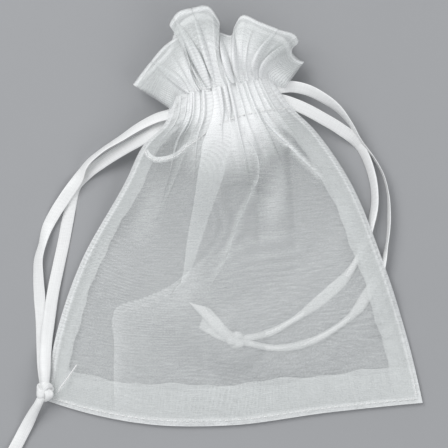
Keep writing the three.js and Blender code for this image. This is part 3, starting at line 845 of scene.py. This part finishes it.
def ribbon_piece(name, route, turns, sizes, material, width_axis=None, tip=0.0):
    """A ribbon along a route, and its middle line. tip slants its last cut end: it moves one edge on and the
    other back by that share of the width."""
    centre = smooth_line(route, max(12, int(line_length(route) / RIBBON_STEP)))
    roll, curl = turns_at(turns, len(centre))
    points, middle = ribbon_grid(centre, roll, curl, sizes, width_axis)
    count, around = points.shape[:2]
    across = np.linspace(-1, 1, RIBBON_COLUMNS)
    across = np.concatenate([across, across[::-1]])
    near_end = ease(np.arange(count), count - 12, count - 1)[:, None] * across[None]
    points += (near_end * tip * sizes.ribbon_width / 2)[..., None] * unit(middle[-1] - middle[-3])
    one = np.arange(RIBBON_COLUMNS - 1)
    cap = np.stack([one, around - 1 - one, around - 2 - one, one + 1], -1)
    faces = np.concatenate([grid_faces(count, around, closed=True), cap, (count - 1) * around + cap[:, ::-1]])
    cloth = cloth_values(across * sizes.ribbon_width / 2, run_along(middle)[:, None], np.abs(across))
    return new_piece(name, points, faces, material, cloth), middle


def knot_piece(name, centre, size, turn, sizes, material):
    """An overhand knot drawn tight: a flat band follows a three-lobed knot line round a full core. The knot
    line is (sin t + 2 sin 2t, cos t - 2 cos 2t, -sin 3t), drawn together at its lobes."""
    t = round_angles(180)
    line = np.stack([np.sin(t) + 2 * np.sin(2 * t), np.cos(t) - 2 * np.cos(2 * t), -np.sin(3 * t)], -1)
    line = line * np.array([0.235, 0.235, 0.62])
    tangent = unit(np.roll(line, -1, 0) - np.roll(line, 1, 0))
    out = line / np.linalg.norm(line * np.array([1, 1, 0.3]), axis=1)[:, None]
    out[:, 2] += 0.9 * np.sign(line[:, 2]) * np.abs(line[:, 2]) ** 0.5
    side = unit(np.cross(tangent, out))
    up = np.cross(side, tangent)
    angle = round_angles(16)
    crease = 1 + 0.12 * np.sin(3 * angle)[None] * np.sin(4 * t)[:, None]
    wide, thick = 0.46 * np.cos(angle)[None, :, None], 0.2 * np.sin(angle)[None, :, None]
    band = line[:, None] + crease[..., None] * (wide * side[:, None] + thick * up[:, None])
    band = np.concatenate([band, band[:1]])
    rows, around = band.shape[:2]
    across, down = np.meshgrid(round_angles(32), np.linspace(0.02, math.pi - 0.02, 17))
    ring = np.sin(down)
    core = 0.62 * np.stack([ring * np.cos(across), ring * np.sin(across), 1.1 * np.cos(down)], -1)
    faces = np.concatenate([
        grid_faces(rows, around, closed=True),
        grid_faces(*core.shape[:2], first=rows * around, closed=True)[:, ::-1]])
    c, s = math.cos(turn), math.sin(turn)
    turned = np.array([[c, s, 0], [-s, c, 0], UP])
    points = centre + np.concatenate([band.reshape(-1, 3), core.reshape(-1, 3)]) @ turned * size
    points[:, 2] = np.maximum(points[:, 2], FLOOR + FLOOR_GAP)
    place = 0.7 * np.sin(angle)[None]
    cloth = cloth_values(place * sizes.ribbon_width / 2, np.linspace(0, 0.02, rows)[:, None], np.abs(place))
    cloth = np.concatenate([cloth.reshape(-1, 3), np.zeros((core[..., 0].size, 3))])
    return new_piece(name, points, faces, material, cloth)


def tube_piece(name, line, radius, material):
    """A thread of even thickness along a line, drawn in at both ends."""
    tangent = unit(np.gradient(line, axis=0))
    side = unit(np.cross(UP, tangent))
    up = np.cross(tangent, side)
    angle = round_angles(8)
    ends = np.abs(np.linspace(-1, 1, len(line))) ** 30
    thick = radius * np.sqrt(np.clip(1 - ends, 0.01, 1))[:, None, None]
    ring = np.cos(angle)[None, :, None] * side[:, None] + np.sin(angle)[None, :, None] * up[:, None]
    along = np.linspace(0, line_length(line), len(line))[:, None]
    cloth = cloth_values(angle[None] / (2 * math.pi), along, 0.0)
    faces = grid_faces(len(line), len(angle), closed=True)
    return new_piece(name, line[:, None] + thick * ring, faces, material, cloth)


def stitches_piece(name, line, sizes, material):
    """A row of lockstitches along a line: each is a short fat thread that dips into the cloth at both ends,
    by the curve of a half cosine."""
    length = line_length(line)
    count = max(2, round(length / sizes.stitch_pitch))
    step = 1 / count
    reach = 0.46  # half a stitch, as a share of the step
    local = np.linspace(-reach, reach, 9)
    share = (np.arange(count) + 0.5)[:, None] * step + local[None] * step
    line = even_line(line, 900)
    tangent = unit(at_share(line, np.clip(share + 0.01 * step, 0, 1))
                   - at_share(line, np.clip(share - 0.01 * step, 0, 1)))
    side = unit(np.cross(UP, tangent))
    lift = np.cross(tangent, side)
    bow = np.cos(local / reach * math.pi / 2)
    thick = sizes.thread_radius * (0.25 + 0.75 * bow)
    centre = at_share(line, share) + lift * (sizes.thread_radius * 0.8 * bow)[None, :, None]
    angle = round_angles(7)
    ring = (np.cos(angle)[None, None, :, None] * side[:, :, None]
            + np.sin(angle)[None, None, :, None] * lift[:, :, None])
    points = centre[:, :, None] + thick[None, :, None, None] * ring
    around = len(angle)
    faces = np.concatenate([
        grid_faces(len(local), around, first=k * len(local) * around, closed=True) for k in range(count)])
    cloth = cloth_values(angle / (2 * math.pi), (share * length)[:, :, None], 0.0)
    return new_piece(name, points, faces, material, cloth)


# ---------------------------------------------------------------- the add-on

def length(name, description, default):
    return FloatProperty(name=name, description=description, default=default * MM, unit="LENGTH", precision=5)


def colour(name, description, default):
    return FloatVectorProperty(
        name=name, description=description, default=default, subtype="COLOR", min=0, max=1)


class PouchSizes(bpy.types.PropertyGroup):
    """Sizes that a user would change"""

    ribbon_width: length("Ribbon Width", "Width of the drawstring ribbon", 3.2)
    ribbon_thickness: length("Ribbon Thickness", "Thickness of the drawstring ribbon", 0.22)
    thread_radius: length("Thread Radius", "Half the thickness of the sewing thread", 0.15)
    stitch_pitch: length("Stitch Length", "From one stitch to the next", 1.7)
    side_allowance: length("Side Allowance", "Cloth turned in along each side seam", 6.5)
    bottom_allowance: length("Bottom Allowance", "Cloth turned in along the bottom seam", 8.9)
    seam_inset: length("Seam Inset", "From the folded edge to the seam's stitches", 1.2)
    view_width: length("View Width", "Width of the floor that the camera shows", 118.5)


class PouchColours(bpy.types.PropertyGroup):
    """Colours and cover that a user would change"""

    organza: colour("Organza", "Colour of the sheer cloth", (0.86, 0.89, 0.88))
    ribbon: colour("Ribbon", "Colour of the satin ribbon", (0.93, 0.935, 0.93))
    thread: colour("Thread", "Colour of the sewing thread", (0.94, 0.94, 0.93))
    floor: colour("Floor", "Colour of the floor", (0.37, 0.375, 0.385))
    layer_coverage: FloatProperty(
        name="Layer Coverage", description="Share of the light that one layer of organza stops",
        default=0.27, min=0.02, max=1, subtype="FACTOR")


MATERIALS = {}


def materials():
    """The materials, made the first time that they are asked for."""
    if not MATERIALS:
        colours = bpy.context.scene.pouch_colours
        weave = weave_group()
        MATERIALS["organza"] = organza_material(weave, colours)
        MATERIALS["ribbon"] = ribbon_material(weave, colours)
        MATERIALS["thread"] = thread_material(colours)
        MATERIALS["floor"] = floor_material(colours)
    return MATERIALS


def declare(piece, body=None, nodes=()):
    """Hides the solids that a piece stands for, and puts it on the body that carries it."""
    if nodes:
        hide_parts(*nodes)
    if body:
        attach(piece, body)


class PouchOperator:
    """What every step shares: it builds from the scene's sizes and the materials."""

    bl_options = {"REGISTER", "UNDO"}

    def execute(self, context):
        self.build(context.scene.pouch_sizes, materials())
        return {"FINISHED"}


class POUCH_OT_stage(PouchOperator, bpy.types.Operator):
    """Make the camera, the floor and the soft lights"""

    bl_idname = "pouch.stage"
    bl_label = "Stage"

    def build(self, sizes, finish):
        scene = bpy.context.scene
        distance = 0.9
        data = bpy.data.cameras.new("camera")
        data.sensor_width = 36
        data.lens = data.sensor_width * distance / sizes.view_width
        data.clip_end = 20
        camera = bpy.data.objects.new("camera", data)
        camera.location = np.array([-2.65, -1.7, 3]) * MM + distance * UP
        scene.collection.objects.link(camera)
        scene.camera = camera
        corners = 4.0 * np.array([(-1, -1, 0), (1, -1, 0), (1, 1, 0), (-1, 1, 0)])
        floor = new_piece("floor", corners + (FLOOR - 0.02 * MM) * UP, [[0, 1, 2, 3]], finish["floor"])
        for name, place, power in (("key light", (-0.45, 0.5, 0.75), 5.6),
                                   ("fill light", (0.6, -0.35, 0.7), 1.8)):
            lamp = bpy.data.lights.new(name, "AREA")
            lamp.size = 0.6
            lamp.energy = power
            made = bpy.data.objects.new(name, lamp)
            made.location = place
            made.rotation_euler = (-made.location).to_track_quat("-Z", "Y").to_euler()
            scene.collection.objects.link(made)
        world = bpy.data.worlds.new("soft room")
        world.use_nodes = True
        background = world.node_tree.nodes["Background"]
        feed(world.node_tree, background, {"Color": (0.95, 0.97, 1, 1), "Strength": 0.54})
        scene.world = world
        scene.view_settings.view_transform = "Standard"
        scene.cycles.transparent_max_bounces = 32


class POUCH_OT_drawstrings(PouchOperator, bpy.types.Operator):
    """Make the two ribbon drawstrings, their knots and tails, and their runs inside the casing"""

    bl_idname = "pouch.drawstrings"
    bl_label = "Drawstrings"

    def build(self, sizes, finish):
        ribbon = finish["ribbon"]
        knots = {}
        for name, place, size, turn, body in (
            ("left_knot", LEFT_KNOT, (2.5, 3, 1.5), 0.5, "left_loop"),
            ("right_knot", RIGHT_KNOT, (2.6, 2.5, 1.15), 0.2, "right_drawstring"),
        ):
            knots[name] = knot_piece(f"{name}_tied", place, np.array(size) * MM, turn, sizes, ribbon)
            declare(knots[name], body, [name])
        for name, route, turns, nodes, tip, with_pieces in (
            ("left_upper", LEFT_UPPER_ROUTE, LEFT_UPPER_TURN,
             ("left_upper_exit", "left_upper_leg", "left_upper_tail"), 0, [knots["left_knot"]]),
            ("left_lower", LEFT_LOWER_ROUTE, LEFT_LOWER_TURN,
             ("left_lower_exit", "left_lower_leg", "left_lower_tail"), 0, []),
            ("right_outer", RIGHT_OUTER_ROUTE, RIGHT_OUTER_TURN,
             ("right_outer_leg", "right_upper_tail"), 1.5, [knots["right_knot"]]),
            ("right_inner", RIGHT_INNER_ROUTE, RIGHT_INNER_TURN,
             ("right_inner_leg", "right_lower_tail"), -0.2, []),
        ):
            piece, middle = ribbon_piece(f"{name}_ribbon", route, turns, sizes, ribbon, tip=tip)
            declare(piece, nodes=nodes)
            if name.startswith("left"):
                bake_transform(piece)
            else:
                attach(piece, "right_drawstring")
        # Each run in the casing is most of an ellipse round the neck, its height waved a little by a sine
        for name, side in (("left_ribbon_in_casing", -1), ("right_ribbon_in_casing", 1)):
            angle = np.radians(np.linspace(-163, 163, 40))
            loop = (NECK + NECK_SEAM_Z * UP - side * 1.8 * MM * ALONG
                    + (-side * 12 * MM * np.cos(angle))[:, None] * ACROSS
                    + (5.7 * MM * np.sin(angle) * (1 + 0.04 * np.sin(9 * angle)))[:, None] * UP)
            turns = [(0, 0, 30), (0.3, 0, 10), (0.5, 0, 40), (0.7, 0, 10), (1, 0, 30)]
            piece, _ = ribbon_piece(f"{name}_band", loop, turns, sizes, ribbon, width_axis=ALONG)
            declare(piece, "pouch", [name])


class POUCH_OT_body(PouchOperator, bpy.types.Operator):
    """Make the front and back of the pouch, drawn into pleats at the neck"""

    bl_idname = "pouch.body"
    bl_label = "Body"

    def build(self, sizes, finish):
        for name, side, rests_on in (("front", 1, ["back_cloth"]),
                                     ("back", -1, ["floor", "right_outer_ribbon"])):
            piece = sheet_piece(f"{name}_cloth", *panel_grid(side, 190, 380), finish["organza"], side)
            declare(piece, "pouch", [f"{name}_panel"])


class POUCH_OT_ruffle(PouchOperator, bpy.types.Operator):
    """Make the doubled ruffle above the casing"""

    bl_idname = "pouch.ruffle"
    bl_label = "Ruffle"

    def build(self, sizes, finish):
        for name, side, rim in (("front_ruffle", 1, FRONT_RIM), ("back_ruffle", -1, BACK_RIM)):
            piece = sheet_piece(f"{name}_cloth", *ruffle_grid(side, rim, 56, 380), finish["organza"], side)
            declare(piece, nodes=[name])
            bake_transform(piece)


class POUCH_OT_allowances(PouchOperator, bpy.types.Operator):
    """Make the turned-in seam allowances and the inner hem of the casing"""

    bl_idname = "pouch.allowances"
    bl_label = "Allowances"

    def build(self, sizes, finish):
        organza = finish["organza"]
        self.side_allowances(sizes, organza)
        self.bottom_allowance(sizes, organza)
        for name, side in (("front", 1), ("back", -1)):
            self.casing_hem(name, side, organza)
        self.turned_hem(organza)

    def side_allowances(self, sizes, organza):
        """Two layers along each side seam, from a line near the edge to the cut edge, which lies at the
        allowance's width, rippled by two sines of the height. The lower layer is cut a little shorter."""
        rows = cloth_rows(np.linspace(0.02, 0.9, 160))
        ripple = 0.22 * MM * (np.sin(rows["along"] * 31) + 0.6 * np.sin(rows["along"] * 83 + 1))
        for name, side in (("left", -1), ("right", 1)):
            lines = []
            wide = sizes.side_allowance * (1.05 if side > 0 else 0.8)
            for inset, wave in ((sizes.seam_inset * 0.5, 0), (wide, 1), (wide - 0.9 * MM, -1)):
                share = (inset + wave * ripple) / row_width(rows)
                lines.append(seam_line(rows, share if side < 0 else 1 - share))
            piece = self.allowance(f"{name}_seam_allowance", double_strip(*lines, 0.25 * MM, 12), organza)

    def bottom_allowance(self, sizes, organza):
        """The same along the bottom seam, rippled by two sines of the share of the width."""
        share = np.linspace(0.012, 0.988, 300)
        lines = []
        deep = sizes.bottom_allowance
        for inset, wave in ((0.3 * MM, 0), (deep, 1), (deep - 0.8 * MM, -1)):
            edge = inset + wave * 0.35 * MM * (np.sin(share * 23) + 0.5 * np.sin(share * 61))
            lines.append(seam_line(cloth_rows(edge / SIDE_LENGTH), share))
        piece = self.allowance("bottom_seam_allowance", double_strip(*lines, 0.3 * MM, 14), organza)

    def allowance(self, name, points, organza):
        """A turned-in strip from its grid of points."""
        across, along = points.shape[:2]
        cloth = cloth_values(np.linspace(0, 0.012, across)[:, None], np.linspace(0, 0.09, along)[None], 0.25)
        piece = sheet_piece(f"{name}_cloth", points, cloth, organza)
        declare(piece, "pouch", [name])
        return piece

    def casing_hem(self, name, side, organza):
        """The casing's inner layer: half an ellipse round the neck, waved in and out by its small pleats."""
        even = np.linspace(0, 1, 480)
        angle = math.pi * even
        pleat = np.sin(2 * math.pi * 17 * even + 1.3 * np.sin(5 * angle)) * np.sin(angle) ** 0.2
        q = np.linspace(-CASING / 2 - 1 * MM, CASING / 2 + 0.2 * MM, 20)[:, None]
        p = -(10 + 1.2 * pleat) * MM * np.cos(angle)
        z = NECK_SEAM_Z + side * (0.5 + (3.6 + 1.1 * pleat) * np.sin(angle)) * MM
        points = NECK + p[None, :, None] * ACROSS + q[..., None] * ALONG + z[None, :, None] * UP
        cloth = cloth_values(even[None] * POUCH_WIDTH, q, 0.0)
        if side < 0:
            points = points[:, ::-1]
        piece = sheet_piece(f"{name}_casing_hem", points, cloth, organza)
        declare(piece, "pouch", [f"{name}_casing_facing"])

    def turned_hem(self, organza):
        """The hem's lower edge on the front: a narrow strip turned under along the casing line."""
        line = smooth_line(CASING_LINE, 240)
        normal = unit(np.gradient(line, axis=0)[:, ::-1] * np.array([-1, 1]))
        points = np.array([
            on_front(line + normal * across * MM, -below * MM) for across, below in
            ((0.9, 0.25), (0.3, 0.22), (-0.35, 0.22), (-0.6, 0.3), (-0.35, 0.38), (0.9, 0.42))])
        cloth = cloth_values(np.linspace(0, 0.045, len(line))[None], np.linspace(0, 0.003, 6)[:, None], 0.7)
        declare(sheet_piece("front_casing_turned_hem", points, cloth, organza), "pouch")


class POUCH_OT_stitching(PouchOperator, bpy.types.Operator):
    """Make the rows of stitches and the loose thread end"""

    bl_idname = "pouch.stitching"
    bl_label = "Stitching"

    def build(self, sizes, finish):
        thread = finish["thread"]
        rows = cloth_rows(np.linspace(0.02, 0.9, 200))
        inset = sizes.seam_inset / row_width(rows)
        near = cloth_rows(np.full(200, 1.1 * MM / SIDE_LENGTH))
        lines = {
            "left_seam_thread": seam_line(rows, inset, THREAD_LIFT),
            "right_seam_thread": seam_line(rows, 1 - inset, THREAD_LIFT),
            "bottom_seam_thread": seam_line(near, np.linspace(0.015, 0.985, 200), THREAD_LIFT),
        }
        # The casing's stitch lines are halves of an ellipse round the neck; the front's lower one hangs
        angle = math.pi * np.linspace(0.06, 0.94, 200)[:, None]
        for name, side in (("front", 1), ("back", -1)):
            for level, q in (("upper", 3.95), ("lower", -3.95)):
                lines[f"{name}_{level}_casing_stitch"] = (
                    NECK - 12.9 * MM * np.cos(angle) * ACROSS + q * MM * ALONG
                    + (NECK_SEAM_Z + side * (0.6 * MM + 6.3 * MM * np.sin(angle))) * UP)
        lines["front_lower_casing_stitch"] = on_front(smooth_line(CASING_LINE, 200), 0.1 * MM)
        for name, line in lines.items():
            declare(stitches_piece(f"{name}_row", line, sizes, thread), "pouch", [name])
        loose = [(-46.6, -46.4, 2.2), (-46.3, -45.6, 3), (-44, -42.4, 3.7), (-41.5, -38.8, 4.2)]
        loose = smooth_line(np.array(loose) * MM, 40)
        piece = tube_piece("loose_thread", loose, sizes.thread_radius * 1.2, thread)
        declare(piece, "pouch", ["loose_thread_end"])


class POUCH_PT_panel(bpy.types.Panel):
    """Lists the pouch's sizes, colours and steps"""

    bl_idname = "POUCH_PT_panel"
    bl_label = "Drawstring Gift Pouch"
    bl_space_type = "VIEW_3D"
    bl_region_type = "UI"
    bl_category = "Pouch"

    def draw(self, context):
        for group in (context.scene.pouch_sizes, context.scene.pouch_colours):
            for name in group.__annotations__:
                self.layout.prop(group, name)
        for step in STEPS:
            self.layout.operator(step.bl_idname)


STEPS = (POUCH_OT_stage, POUCH_OT_drawstrings, POUCH_OT_body, POUCH_OT_ruffle, POUCH_OT_allowances,
         POUCH_OT_stitching)
CLASSES = (PouchSizes, PouchColours, *STEPS, POUCH_PT_panel)


def register():
    for made in CLASSES:
        bpy.utils.register_class(made)
    bpy.types.Scene.pouch_sizes = PointerProperty(type=PouchSizes)
    bpy.types.Scene.pouch_colours = PointerProperty(type=PouchColours)


def unregister():
    del bpy.types.Scene.pouch_sizes
    del bpy.types.Scene.pouch_colours
    for made in reversed(CLASSES):
        bpy.utils.unregister_class(made)


def main():
    register()
    bpy.ops.pouch.stage()
    bpy.ops.pouch.drawstrings()
    bpy.ops.pouch.body()
    bpy.ops.pouch.ruffle()
    bpy.ops.pouch.allowances()
    bpy.ops.pouch.stitching()


if __name__ == "__main__":
    main()
